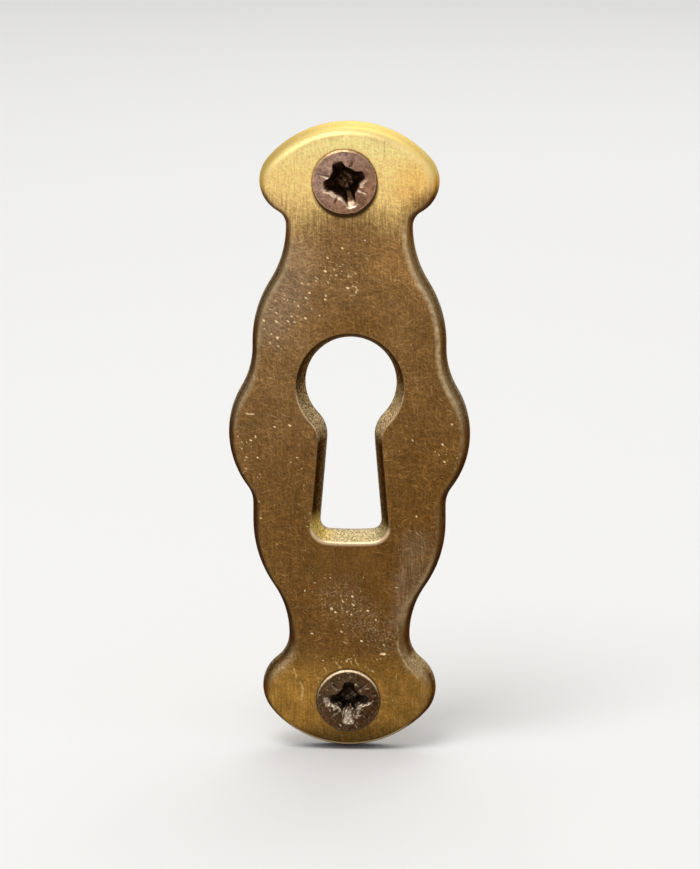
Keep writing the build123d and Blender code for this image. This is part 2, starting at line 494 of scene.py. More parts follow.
LIP_SHARES = (0.03, 0.06, 0.1, 0.15, 0.21, 0.28, 0.36, 0.46, 0.58, 0.72, 0.86, 1.0)
CONE_SHARES = (0.04, 0.3, 0.6, 0.9, 0.97, 1.0)
THREAD_PHASES = (0.0, 0.2, 0.33, 0.41, 0.47, 0.53, 0.59, 0.67, 0.8)
THREAD_HEIGHTS = (0.0, 0.0, 0.03, 0.5, 1.0, 1.0, 0.5, 0.03, 0.0)


def angle_from(theta, degrees):
    """Angle of each direction from one in degrees, within half a turn."""
    return (theta - math.radians(degrees) + math.pi) % (2 * math.pi) - math.pi


def arc(theta, degrees, half, inner):
    """1 within an inner share of half an arc from its middle direction, falling to 0 at its ends."""
    return smoothstep(half, half * inner, np.degrees(np.abs(angle_from(theta, degrees))))


def recess_outline(theta, look):
    """Radius of the recess at the head's top, in each direction."""
    radius = np.full(len(theta), look["core"])
    for degrees, length, half in look["wings"]:
        away = angle_from(theta, degrees)
        ahead = np.cos(away) > WING_REACH
        end = length / np.maximum(np.cos(away), WING_REACH)
        side = (half + WING_TAPER * length) / (np.abs(np.sin(away)) + WING_TAPER * np.cos(away))
        radius = np.where(ahead, np.maximum(radius, np.minimum(end, np.abs(side))), radius)
    for _ in range(ROUNDINGS):
        radius = 0.25 * np.roll(radius, 1) + 0.5 * radius + 0.25 * np.roll(radius, -1)
    return radius


def lip_drop(theta, gap, look):
    """How far the worn lip falls at a distance outside the recess, and how worn it is."""
    drop = np.zeros(len(theta))
    wear_and_highlight = np.zeros(len(theta))
    for degrees, half, width, deep in look["lips"]:
        share = arc(theta, degrees, half, 0.6)
        slope = np.clip(1 - gap / width, 0, 1)
        drop = np.maximum(drop, share * deep * slope)
        wear_and_highlight = np.maximum(wear_and_highlight, share * smoothstep(1.25, 0.9, gap / width))
    return drop, wear_and_highlight


def recess_fill(theta, look):
    """How far the recess is filled with chips in each direction."""
    filled = np.zeros(len(theta))
    for degrees, half, share in look["fill"]:
        filled = np.maximum(filled, share * arc(theta, degrees, half, 0.5))
    return filled


def tick_marks(theta, radius, look):
    """Depth of the four tick marks, with a painted highlight on their sides that face up and painted shade
    on the others.
    """
    drop, painted_highlight, painted_shade = (np.zeros(len(theta)) for _ in range(3))
    window = smoothstep(*TICK_START, radius) * smoothstep(*TICK_END, radius)
    half = np.interp(radius, TICK_TAPER, (TICK_INNER, TICK_OUTER))
    for degrees in look["ticks"]:
        away = angle_from(theta, degrees)
        level = math.cos(math.radians(degrees))
        side = radius * np.sin(away)
        groove = np.where(np.cos(away) > 0, np.clip(1 - np.abs(side) / half, 0, 1), 0) * window
        faces_up = smoothstep(0.02, -0.03, side * level) * smoothstep(0.45, 0.85, abs(level))
        drop = np.maximum(drop, groove * TICK_DEPTH)
        painted_highlight = np.maximum(painted_highlight, smoothstep(0, 0.3, groove) * faces_up * look["tick_shine"])
        painted_shade = np.maximum(painted_shade, smoothstep(0.2, 0.7, groove) * (1 - faces_up) * 0.6)
    return drop, painted_highlight, painted_shade


def row(radius, height, wear_and_highlight=0, grime_and_shade=0, rim=0):
    """One row of points round a screw: each value in every column."""
    return [np.broadcast_to(value, COLUMNS) for value in (radius, height, wear_and_highlight, grime_and_shade, rim)]


def recess_rows(theta, look, outline):
    """Rows of the recess, from its foot up to its outline in the head's top."""
    lip, lip_worn = lip_drop(theta, np.zeros(COLUMNS), look)
    filled = recess_fill(theta, look)
    depth = RECESS_DEPTH * (1 - filled)
    rows = []
    for share in FOOT_SHARES:
        rows.append(row(RECESS_FOOT * share, -RECESS_DEPTH - FOOT_CONE * (1 - share), grime_and_shade=1))
    for share in np.linspace(0, 1, RECESS_ROWS):
        debris = np.clip(filled * 1.4, 0, 0.8) * smoothstep(0.05, 0.4, share)
        radius = RECESS_FOOT + (outline - RECESS_FOOT) * share
        wear_and_highlight = np.maximum(lip_worn * smoothstep(0.8, 1, share), debris)
        grime_and_shade = smoothstep(1.0, 0.72, share) * (1 - debris)
        rows.append(row(radius, -depth + (depth - lip) * share, wear_and_highlight, grime_and_shade))
    return rows


def head_rows(theta, look):
    """Rows of the head, from inside the recess out to the neck."""
    outline = recess_outline(theta, look)
    rows = recess_rows(theta, look, outline)
    degrees, half, rub_and_highlight, rim_width, rim_drop = look["rim"]
    # The rim's lit side is rounder, and is painted with a highlight as well as rubbed
    lit = arc(theta, degrees, half, 0.35)
    width = RIM_ROUND + (rim_width - RIM_ROUND) * lit
    fall = RIM_ROUND + (rim_drop - RIM_ROUND) * lit
    power = 1 + 0.7 * lit
    flat = HEAD_RADIUS - width
    for share in LIP_SHARES:
        gap = (flat - outline) * share
        drop, wear_and_highlight = lip_drop(theta, gap, look)
        # The tick marks add their painted highlight to the wear and their painted shade to the grime
        notch, painted_highlight, painted_shade = tick_marks(theta, outline + gap, look)
        rows.append(row(outline + gap, -np.maximum(drop, notch), np.maximum(wear_and_highlight, painted_highlight), painted_shade))
    for angle in np.linspace(0, math.pi / 2, RIM_ROWS + 1)[1:]:
        radius = flat + width * math.sin(angle) ** power
        height = -fall * (1 - math.cos(angle) ** power)
        rows.append(row(radius, height, wear_and_highlight=0.1, rim=rub_and_highlight * lit * smoothstep(0, 0.5, angle)))
    under = HEAD_RADIUS - NECK_RADIUS
    for share in CONE_SHARES:
        rows.append(row(HEAD_RADIUS - under * share, -HEAD_LAND - under * share))
    rows.append(row(NECK_RADIUS, -NECK_END))
    return rows


def shank_rows():
    """Rows that wind round the shank along its right-hand thread, down to the tip."""
    turn = np.arange(COLUMNS) / COLUMNS
    rows = []
    for number in range(int((SCREW_LENGTH - NECK_END) / PITCH) + 3):
        for phase, rise in zip(THREAD_PHASES, THREAD_HEIGHTS):
            depth = np.clip(NECK_END + PITCH * (number + phase - turn), NECK_END, SCREW_LENGTH)
            taper = np.clip((depth - TIP_START) / (SCREW_LENGTH - TIP_START), 0, 1)
            neck = smoothstep(NECK_END + NECK_BLEND, NECK_END, depth)
            root = ROOT_RADIUS + (NECK_RADIUS - ROOT_RADIUS) * neck
            root = root * (1 - taper) + TIP_ROOT * taper
            crest = THREAD_RADIUS * (1 - taper) + TIP_RADIUS * taper
            lead = smoothstep(NECK_END, NECK_END + THREAD_LEAD, depth)
            rise_here = rise * lead * smoothstep(SCREW_LENGTH, SCREW_LENGTH - THREAD_END, depth)
            rows.append(row(root + (crest - root) * rise_here, -depth, wear_and_highlight=rise_here * 0.8))
    return rows


def wear_head(points, look):
    """Chips and burrs on the head, and unevenness all over it."""
    seed = look["seed"]
    far = np.hypot(points[:, 0], points[:, 1])
    top = smoothstep(-0.6, -0.2, points[:, 2])
    inside = far < RECESS_FOOT + 0.3
    points[:, 2] += rough(points, 1.1, seed) * 0.018 * top
    points[:, 2] += rough(points, 2.4, seed + 3) * 0.16 * smoothstep(-1.1, -1.5, points[:, 2]) * inside
    lower = smoothstep(0.5, -0.6, points[:, 1]) * smoothstep(2.7, 2.3, far)
    chips = np.abs(rough(points, 3.5, seed + 1)) * 0.2 + np.abs(rough(points, 8.0, seed + 2)) * 0.1
    chips *= lower * smoothstep(-1.5, -0.8, points[:, 2])
    points[:, 2] += (chips - 0.1 * lower) * look["chips"]
    degrees, size = look["bump"]
    away = np.degrees(angle_from(np.arctan2(points[:, 1], points[:, 0]), degrees))
    step = smoothstep(-1, 1, away) * smoothstep(24, 6, away)
    out = smoothstep(2.5, 2.9, far) * top
    points[:, :2] *= (1 + step * out * size / HEAD_RADIUS)[:, None]
    return points


def screw_faces(head, shank):
    """Faces of a screw with that many rows, whose first and last points are the middles of its two ends."""
    first = [1 + COLUMNS * number for number in range(head + shank)]
    columns = [(i, (i + 1) % COLUMNS) for i in range(COLUMNS)]
    faces = [(0, first[0] + i, first[0] + k) for i, k in columns]
    for last, here in zip(first[: head - 1], first[1:head]):
        faces += [(last + i, last + k, here + k, here + i) for i, k in columns]
    turn = len(THREAD_PHASES) * COLUMNS
    for number, (last, here) in enumerate(zip(first[head:], first[head + 1 :]), 1):
        faces += [(last + i, last + k, here + k, here + i) for i, k in columns[:-1]]
        if number > len(THREAD_PHASES):
            faces.append((last + COLUMNS - 1, last - turn, here - turn, here + COLUMNS - 1))
    end = first[-1] + COLUMNS
    return faces + [(end, first[-1] + i, first[-1] + k) for i, k in columns]


def build_screw(name, seat, look):
    theta = np.arange(COLUMNS) * 2 * math.pi / COLUMNS
    head, shank = head_rows(theta, look), shank_rows()
    radius, height, wear_and_highlight, grime_and_shade, rim = np.array(head + shank).swapaxes(0, 1)
    rings = np.stack([radius * np.cos(theta), radius * np.sin(theta), height], 2)
    tops = np.vstack([[[0, 0, -RECESS_DEPTH - FOOT_CONE]], rings[: len(head)].reshape(-1, 3)])
    below = np.vstack([rings[len(head) :].reshape(-1, 3), [[0, 0, -SCREW_LENGTH]]])
    points = np.vstack([wear_head(tops, look), below])
    right, up, out = (np.array(axis) for axis in seat_axes(seat["tilt"]))
    placed = np.array(seat["origin"]) + points @ np.stack([right, up, out])
    ends = {"wear_and_highlight": (wear_and_highlight, 0), "grime_and_shade": (grime_and_shade, 1), "rim": (rim, 0)}
    values = {key: np.concatenate([[foot], numbers.ravel(), [0]]) for key, (numbers, foot) in ends.items()}
    return make_object(name, placed, screw_faces(len(head), len(shank)), values)


class Value:
    """A number, place or colour from a node. Arithmetic on numbers adds nodes."""

    def __init__(self, nodes, socket):
        self.nodes = nodes
        self.socket = socket

    def __add__(self, other):
        return self.nodes.math("ADD", self, other)

    def __sub__(self, other):
        return self.nodes.math("SUBTRACT", self, other)

    def __rsub__(self, other):
        return self.nodes.math("SUBTRACT", other, self)

    def __mul__(self, other):
        return self.nodes.math("MULTIPLY", self, other)

    def __abs__(self):
        return self.nodes.math("ABSOLUTE", self)


class Nodes:
    """A short way to write a tree of nodes."""

    def __init__(self, tree):
        self.tree = tree

    def feed(self, node, inputs):
        """Links values to a node's inputs, and sets the others. A colour is its red, green and blue."""
        for key, value in inputs.items():
            socket = node.inputs[key]
            if isinstance(value, Value):
                self.tree.links.new(value.socket, socket)
            elif socket.type == "RGBA":
                socket.default_value = (*value, 1.0)
            else:
                socket.default_value = value

    def node(self, kind, inputs=None, **settings):
        node = self.tree.nodes.new("ShaderNode" + kind)
        for key, value in settings.items():
            setattr(node, key, value)
        self.feed(node, inputs or {})
        return node

    def add(self, kind, inputs=None, output=0, **settings):
        """One output of a new node."""
        return Value(self, self.node(kind, inputs, **settings).outputs[output])

    def math(self, operation, *values):
        return self.add("Math", dict(enumerate(values)), operation=operation)

    def most(self, *values):
        """The greatest of the values."""
        return reduce(lambda first, second: self.math("MAXIMUM", first, second), values)

    def vector(self, operation, *values):
        return self.add("VectorMath", dict(enumerate(values)), operation=operation)

    def measure(self, operation, first, second):
        """A number worked out from two places."""
        return self.add("VectorMath", {0: first, 1: second}, "Value", operation=operation)

    def scaled(self, colour, share):
        return self.add("VectorMath", {0: colour, "Scale": share}, operation="SCALE")

    def tinted(self, colour, share, tint):
        """A colour multiplied by a tint, in the places that a share gives."""
        return self.vector("MULTIPLY", colour, self.mix(share, PLAIN, tint))

    def mix(self, share, first, second):
        return self.add("Mix", {0: share, 6: first, 7: second}, 2, data_type="RGBA")

    def ramp(self, value, low, high, start=0.0, end=1.0):
        """From start where the value is low to end where it is high, and smooth between."""
        inputs = {0: value, 1: low, 2: high, 3: start, 4: end}
        return self.add("MapRange", inputs, interpolation_type="SMOOTHSTEP")

    def noise(self, vector, scale, detail=2.0, roughness=0.5):
        inputs = {"Vector": vector, "Scale": scale, "Detail": detail, "Roughness": roughness}
        return self.add("TexNoise", inputs)

    def attribute(self, name):
        return self.add("Attribute", None, "Fac", attribute_name=name)

    def split(self, vector):
        return [Value(self, part) for part in self.node("SeparateXYZ", {0: vector}).outputs]

    def join(self, x, y, z):
        return self.add("CombineXYZ", {0: x, 1: y, 2: z})

    def turned(self, plane, angle):
        """The plane's two coordinates, turned by an angle."""
        inputs = {"Vector": plane, "Angle": angle}
        return self.split(self.add("VectorRotate", inputs, rotation_type="Z_AXIS"))[:2]

    def millimetres(self):
        return self.scaled(self.add("TexCoord", None, "Object"), 1 / MM)

    def near(self, plane, x, z, inner, outer):
        """1 within the inner distance of a place, falling to 0 at the outer one."""
        return self.ramp(self.measure("DISTANCE", plane, (x, z, 0)), outer, inner)

    def stroke(self, plane, x1, z1, x2, z2, width):
        """1 along a line between two places, falling to 0 over its width."""
        run = (x2 - x1, z2 - z1, 0)
        offset = self.vector("SUBTRACT", plane, (x1, z1, 0))
        inputs = {0: self.measure("DOT_PRODUCT", offset, run), 1: run[0] ** 2 + run[1] ** 2}
        share = self.add("Math", inputs, operation="DIVIDE", use_clamp=True)
        far = self.measure("DISTANCE", offset, self.scaled(run, share))
        return self.ramp(far, width, width * 0.2)

    def warped(self, plane, scale, reach):
        """The plane with each place shifted at random, by up to about half that reach."""
        bend = self.add("TexNoise", {"Vector": plane, "Scale": scale}, "Color")
        shift = self.scaled(self.vector("SUBTRACT", bend, (0.5, 0.5, 0.5)), reach)
        return self.vector("ADD", plane, shift)

    def cells(self, plane, size):
        """Random cells of about that size: three chances for each, its middle and the distance to it."""
        node = self.node("TexVoronoi", {"Vector": plane, "Scale": 1 / size}, voronoi_dimensions="2D")
        chances, middle, far = (Value(self, node.outputs[key]) for key in ("Color", "Position", "Distance"))
        return self.split(chances), middle, far

    def scratches(self, plane, cell, width, share):
        """Fine scratches in random directions, slightly bent, at most one to a cell."""
        bent = self.warped(plane, 0.7 / cell, cell * 0.5)
        chances, middle, _ = self.cells(bent, cell)
        along, across = self.turned(self.vector("SUBTRACT", bent, middle), chances[0] * math.tau)
        line = self.ramp(abs(across), width, width * 0.3)
        ends = self.ramp(abs(along), cell * 0.6, cell * 0.3)
        return line * ends * self.math("LESS_THAN", chances[1], share)

    def scuffs(self, plane, degrees, scale):
        """Streaks along one direction."""
        along, across = self.turned(plane, math.radians(degrees))
        drawn = self.join(along * (0.9 * scale), across * (5 * scale), degrees)
        return self.noise(drawn, 1.0, 2.0, 0.6)

    def specks(self, plane, cell, share):
        """Specks of random size and strength, in that share of the cells."""
        chances, _, far = self.cells(plane, cell)
        spot = self.ramp(self.ramp(chances[0], 0, 1, 0.12, 0.34) - far, 0, 0.1)
        spot = spot * self.ramp(chances[2], 0, 1, 0.3, 1.0)
        return spot * self.math("LESS_THAN", chances[1], share)


def new_material(name):
    """A material and its nodes."""
    material = bpy.data.materials.new(name)
    material.use_nodes = True
    return material, Nodes(material.node_tree)


def set_metal(n, shade, roughness, sheen, relief, depth):
    """A metal's shader, with a relief of that depth in millimetres."""
    inputs = {
        "Base Color": shade,
        "Roughness": roughness,
        "Metallic": 1.0,
        "Specular Tint": sheen,
        "Normal": n.add("Bump", {"Height": relief, "Distance": depth * MM}),
    }
    n.feed(n.tree.nodes["Principled BSDF"], inputs)


# Brass, from the polished top down to the tip
BRIGHT_BRASS = (0.98, 0.67, 0.24)
# brushed brass at the top edge, painted brighter where light from above falls
LIT_CROWN_BRASS = (1.0, 0.77, 0.3)
PATINA = (0.235, 0.126, 0.042)
DEEP_PATINA = (0.152, 0.072, 0.016)
FOOT_BRASS = (0.31, 0.158, 0.032)
# darker toward the tip, as painted shade
SHADED_TIP_BRASS = (0.105, 0.055, 0.012)
# worn bare brass for rubs and scratches, also painted as highlights on edges
RUBBED_AND_LIT_BRASS = (0.7, 0.53, 0.3)
FLAKE = (1.0, 0.77, 0.43)
# greyish bloom, partly a painted reflection down the right flank
HAZE_AND_REFLECTION = (0.36, 0.27, 0.18)
# the keyhole's edge, rubbed and painted with a highlight
LIP_WEAR_AND_HIGHLIGHT = (0.67, 0.48, 0.28)
# Keyhole walls with light painted in: the foot and the bow's upward walls lit, the slot's walls in painted
# shade
LIT_FOOT_WALL = (0.6, 0.49, 0.27)
LIT_FOOT_GOLD = (0.62, 0.46, 0.15)
CHALK = (0.42, 0.4, 0.35)
LIT_BOW_WALL = (0.4, 0.3, 0.17)
SLOT_FLECK = (0.4, 0.33, 0.19)
SLOT_SHADE_AND_DARK_MARKS = (0.06, 0.031, 0.008)
# painted shadow below the screw heads
HEAD_SHADOW_BROWN = (0.03, 0.012, 0.003)
# Dust on walls that face up, painted lighter as if lit from above, and a painted highlight line along them
WALL_DUST_AND_LIGHT = (0.33, 0.26, 0.165)
WALL_TOP_HIGHLIGHT = (0.4, 0.345, 0.26)
CURL_GOLD = (0.66, 0.46, 0.18)
BACK_BRASS = (0.4, 0.27, 0.1)
BACK_BROWN = (0.2, 0.125, 0.052)
BACK_STAIN = (0.07, 0.042, 0.018)
BRASS_SHEEN = (0.36, 0.25, 0.13)  # of light that grazes it

# Fields of bright specks on the front, along lines: start x and z, end x and z, half width, strength
SPECK_FIELDS = [
    (-6.1, 11.6, -0.6, 15.6, 2.8, 1.0),
    (-6.6, 9.3, -4.8, 10.6, 1.9, 0.7),
    (1.2, 15.6, 2.2, 17.4, 1.6, 0.3),
    (-9.3, -0.3, -9.1, -3.0, 1.7, 0.8),
    (8.4, -0.9, 10.1, -2.6, 1.5, 0.8),
    (-2.3, -14.6, 1.8, -17.8, 2.7, 0.4),
    (-2.4, -21.0, 2.6, -21.3, 1.0, 0.6),
    (-4.9, -2.4, -4.5, -4.3, 1.0, 0.4),
    (-4.2, -6.0, -3.8, -7.9, 0.9, 0.5),
]

# Single marks on the front: start x and z, end x and z, width
BRIGHT_MARKS = [
    (3.05, -20.32, 3.4, -20.36, 0.15),
    (-9.35, 2.24, -8.6, 2.18, 0.08),
    (4.4, -14.0, 4.52, -14.02, 0.09),
]
CURLS = [
    (-4.95, -21.9, -4.9, -22.7, 0.15),
    (-4.4, -23.2, -4.15, -24.6, 0.19),
    (-2.94, -22.4, -2.62, -23.2, 0.11),
    (-2.2, -21.7, -1.95, -22.4, 0.11),
    (-1.2, -21.1, -0.7, -21.8, 0.12),
    (0.2, -20.8, 0.32, -21.5, 0.1),
    (0.63, -20.96, 1.0, -21.6, 0.1),
    (1.63, -21.6, 2.2, -22.0, 0.1),
    (4.4, -22.2, 4.55, -22.8, 0.07),
]
# Painted highlight along a crease on the lower right ear
CREASE_HIGHLIGHT = [
    (4.56, -19.2, 4.62, -19.9, 0.17),
    (4.62, -19.9, 5.37, -21.5, 0.15),
    (5.37, -21.5, 6.5, -22.65, 0.13),
]
DINT = (0.35, 13.75)  # middle of a ring-shaped mark
DARK_MARKS = [
    (3.28, 28.4, 3.24, 25.7, 0.05),
    (2.55, -20.2, 2.95, -20.2, 0.14),
    (-1.9, 26.9, -1.9, 26.2, 0.04),
    (-3.6, -24.4, -3.3, -25.6, 0.04),
]

# Spots on the front where its colour changes: x, z, radius of the full effect and radius at which it ends.
# The one below the top screw holds a painted shadow.
UNDER_TOP_SCREW = (-0.2, 20.4, 0.5, 4.2)
UNDER_RIGHT_EAR = (8.0, 21.0, 0.8, 3.6)
UNDER_LEFT_EAR = (-7.9, 21.0, 0.8, 3.2)
UPPER_RIGHT_EAR = (7.0, 23.2, 1.6, 3.8)
RIGHT_NECK = (5.0, 16.6, 0.8, 4.0)
LEFT_NECK = (-4.9, 17.4, 0.6, 3.2)
OVER_BOW = (0.3, 9.4, 1.0, 4.4)
LOWER_RIGHT_EAR = (6.6, -21.2, 0.6, 2.2)
LOWER_LEFT_EAR = (-6.6, -21.2, 0.6, 2.2)

# Stretches of the front: start x and z, end x and z, half width. The right flank's haze is partly a painted
# reflection, the flank's edge line is a painted highlight, and the facet's stretches hold painted shade and
# a painted highlight.
FLANK_HAZE_AND_REFLECTION = (6.3, -10.0, 5.2, -17.0, 2.3)
SHOULDER_HAZE = (-6.6, 10.5, -4.9, 16.5, 3.4)
PATCH_HAZE = (-0.8, -15.0, 3.0, -18.6, 2.8)
FACET_SHADE = (5.2, -18.4, 6.2, -21.3, 0.75)
FACET_BORDER_HIGHLIGHT = (6.1, -21.0, 7.7, -22.0, 0.75)
FLANK_EDGE_HIGHLIGHT = (6.6, -12.0, 5.4, -16.0, 2.4)
FEW_SCUFFS = (-1.0, -11.6, 1.5, -14.4, 4.5)

HAIRLINES = [(0.5, 0.016, 0.7), (0.9, 0.02, 0.7), (1.7, 0.024, 0.7)]  # cell, half width, share of the cells
SCUFFS = [(12, 1.0), (38, 1.2), (-18, 1.1), (75, 1.3)]  # direction in degrees, fineness
# Painted shadow below each screw head, strongest below the top one
HEAD_SHADOWS = [(TOP_SEAT, 0.4, 0.22, 0.95), (BOTTOM_SEAT, 0.12, 0.12, 0.6)]  # seat, drop, reach, strength

# Tints of the front
PLAIN = (1, 1, 1)
LEFT_TINT = (1.11, 1.13, 1.3)
RIGHT_TINT = (0.99, 0.94, 0.87)
BOW_TINT = (0.84, 0.78, 0.62)  # browner above the keyhole
EAR_TINT = (0.97, 0.87, 0.74)  # browner on the upper right ear


def speck_mask(n, plane):
    """Small bright flakes, dense in their fields and rare elsewhere."""
    fields = n.most(*[n.stroke(plane, *line) * strength for *line, strength in SPECK_FIELDS])
    along, across = n.turned(n.warped(plane, 2.5, 0.3), math.radians(35))
    drawn = n.join(along * 0.6, across, 0.0)
    specks = n.specks(drawn, 0.3, fields * 0.34 + 0.012)
    chips = fields * 0.09 + n.noise(drawn, 3.0, 3.0, 0.62)
    return n.most(specks, n.ramp(chips, 0.71, 0.78, 0.0, 0.8))


def mark_mask(n, plane, marks, scale=2.6, reach=0.22):
    """Lines and nicks, made ragged by a warp of that scale and reach."""
    ragged = n.warped(plane, scale, reach)
    return n.most(*[n.stroke(ragged, *mark) for mark in marks])


def scratch_mask(n, plane):
    """Hairlines of three sizes, in all directions."""
    return n.most(*[n.scratches(plane, *kind) for kind in HAIRLINES])


def scuff_height(n, plane):
    """Short streaks, most of them level or falling a little to the right, from about 0.4 to 0.8."""
    bent = n.warped(plane, 0.9, 0.45)
    return n.most(*[n.scuffs(bent, *kind) for kind in SCUFFS])


def dint_mask(n, plane, grain):
    """A small broken ring left by a blow, above the keyhole."""
    bent = n.warped(plane, 2.0, 0.3)
    ring = n.near(bent, *DINT, 0.46, 0.6) - n.near(bent, *DINT, 0.3, 0.44)
    right = n.ramp(n.split(plane)[0], DINT[0] - 0.4, DINT[0] + 0.4, 0.08, 0.75)
    return ring * right * n.ramp(grain, 0.42, 0.6)


def haze_and_reflection_mask(n, plane, cloud, streak, grain):
    """Greyish bloom on the left shoulder and in a patch below the keyhole, and down the lower right flank a
    pale band that is partly bloom and partly a painted reflection.
    """
    flank = n.stroke(n.warped(plane, 0.4, 1.5), *FLANK_HAZE_AND_REFLECTION) * n.ramp(streak, -0.15, 0.2, 0.1, 0.34)
    shoulder = n.stroke(plane, *SHOULDER_HAZE) * n.ramp(cloud, 0.3, 0.7, 0.12, 0.34)
    patch = n.stroke(n.warped(plane, 0.5, 2.0), *PATCH_HAZE) * n.ramp(grain, 0.5, 0.68, 0.02, 0.65)
    return n.most(flank, shoulder, patch)


def facet_light_and_shade(n, plane, rust, shade):
    """The worn facet of the lower right ear, with light painted in: a painted highlight on a crease,
    painted shade beyond it and a painted highlight again at its border.
    """
    ragged = n.warped(plane, 1.6, 0.3)
    shade = n.mix(n.stroke(ragged, *FACET_SHADE) * 0.4, shade, SHADED_TIP_BRASS)
    border = n.stroke(ragged, *FACET_BORDER_HIGHLIGHT) * n.ramp(rust, 0.4, 0.58, 0.15, 0.7)
    shade = n.mix(border, shade, RUBBED_AND_LIT_BRASS)
    crease = mark_mask(n, plane, CREASE_HIGHLIGHT, 1.2, 0.35) * n.ramp(rust, 0.4, 0.62, 0.15, 0.5)
    return n.mix(crease, shade, RUBBED_AND_LIT_BRASS)


def head_shadow_mask(n, plane):
    """Painted shadow below the screw heads, shifted down and a little to the right of each."""
    rings = []
    for seat, drop, reach, strength in HEAD_SHADOWS:
        x, _, z = seat["origin"]
        painted_shade = n.near(plane, x + 0.2 * drop, z - drop, HEAD_RADIUS - 0.15, HEAD_RADIUS + reach)
        rings.append(painted_shade * strength)
    return n.most(*rings)


def front_shade(n, plane, x, z, cloud, grain, streak):
    """The front's colour, and where it is brushed at the top and at the foot. It holds a painted shadow
    below the top screw, painted shade toward the tip and a painted highlight toward the top edge.
    """
    height = z + streak * 3.2 + cloud * 1.4 - 0.7
    # A painted shadow below the top screw, and less brushing below the ears, hold back the bright top
    shadow_and_less_brushing = n.near(plane, *UNDER_TOP_SCREW) * 1.6 + n.near(plane, *UNDER_RIGHT_EAR) * 3.2
    shadow_and_less_brushing = shadow_and_less_brushing + n.near(plane, *UNDER_LEFT_EAR) * 1.6
    top = n.ramp(height - shadow_and_less_brushing, 17.6, 23.6)
    foot = n.ramp(height, -19.4, -23.5)
    shade = n.mix(n.ramp(z, 15.0, -11.0), PATINA, DEEP_PATINA)
    shade = n.tinted(shade, n.near(plane, *OVER_BOW), BOW_TINT)
    neck = n.most(n.near(plane, *RIGHT_NECK), n.near(plane, *LEFT_NECK))
    shade = n.scaled(shade, neck * 0.38 + 1.0)
    shade = n.scaled(shade, n.ramp(n.noise(plane, 0.35, 4.0, 0.6), 0.25, 0.75, 0.86, 1.16))
    shade = n.vector("MULTIPLY", shade, n.mix(n.ramp(x, -9.0, 9.0), LEFT_TINT, RIGHT_TINT))
    foot_level = n.ramp(x, -6.0, 6.0, 1.12, 0.85) * n.ramp(n.noise(plane, 0.6, 3.0), 0.3, 0.7, 0.8, 1.2)
    shade = n.mix(foot, shade, n.scaled(FOOT_BRASS, foot_level))
    # Painted shade, darker toward the tip
    shade = n.mix(n.ramp(z, -26.2, -28.6), shade, SHADED_TIP_BRASS)
    # Brushed brass at the top, painted brighter toward the top edge where light from above falls
    shade = n.mix(top, shade, n.mix(n.ramp(z, 24.0, 27.5), BRIGHT_BRASS, LIT_CROWN_BRASS))
    shade = n.tinted(shade, n.near(plane, *UPPER_RIGHT_EAR), EAR_TINT)
    lines = foot * 0.35 + 0.9 - top * 0.25
    shade = n.scaled(shade, streak * lines + 1.0)
    mottle = 1.4 - top * 0.75
    shade = n.scaled(shade, (grain - 0.5) * mottle + 1.0)
    return shade, top, foot


def keyhole_shade(n, x, y, z, rust):
    """The keyhole's walls, with light painted in: lit gold on the foot, painted shade along the slot and
    painted light where the bow faces up.
    """
    # Painted light on the foot's wall, which faces up
    gold = n.mix(n.ramp(x, -2.6, -1.0), LIT_FOOT_GOLD, LIT_FOOT_WALL)
    gold = n.scaled(gold, n.ramp(rust, 0.36, 0.62, 0.3, 1.45))
    # Painted shade on the slot's walls
    slot = n.scaled(SLOT_SHADE_AND_DARK_MARKS, n.ramp(rust, 0.38, 0.64, 0.25, 2.3))
    slot = n.scaled(slot, n.ramp(y, -2.2, -0.6, 0.7, 1.2))
    flecks = n.ramp(rust, 0.52, 0.6, 0.0, 0.9) * n.ramp(y, -1.8, -0.5, 0.15, 1.0)
    slot = n.mix(flecks, slot, SLOT_FLECK)
    # Painted light on the bow's walls, more on the right
    bow = n.scaled(LIT_BOW_WALL, n.ramp(rust, 0.4, 0.6, 0.16, 1.95))
    bow = n.scaled(bow, n.ramp(x, -2.0, 3.0, 1.0, 1.3))
    facing_up = n.ramp(z, -0.8, 1.0) * n.ramp(z, 6.0, 1.8)
    shade = n.mix(facing_up, slot, bow)
    lower = n.ramp(x, -1.0, 2.6) * 0.9 + z
    shade = n.mix(n.ramp(lower, -6.8, -8.4), shade, gold)
    chalk = n.ramp(y, -0.6, -0.15) * n.ramp(z, 2.5, 0.0)
    return n.mix(chalk * n.ramp(rust, 0.35, 0.6, 0.1, 0.75), shade, CHALK)


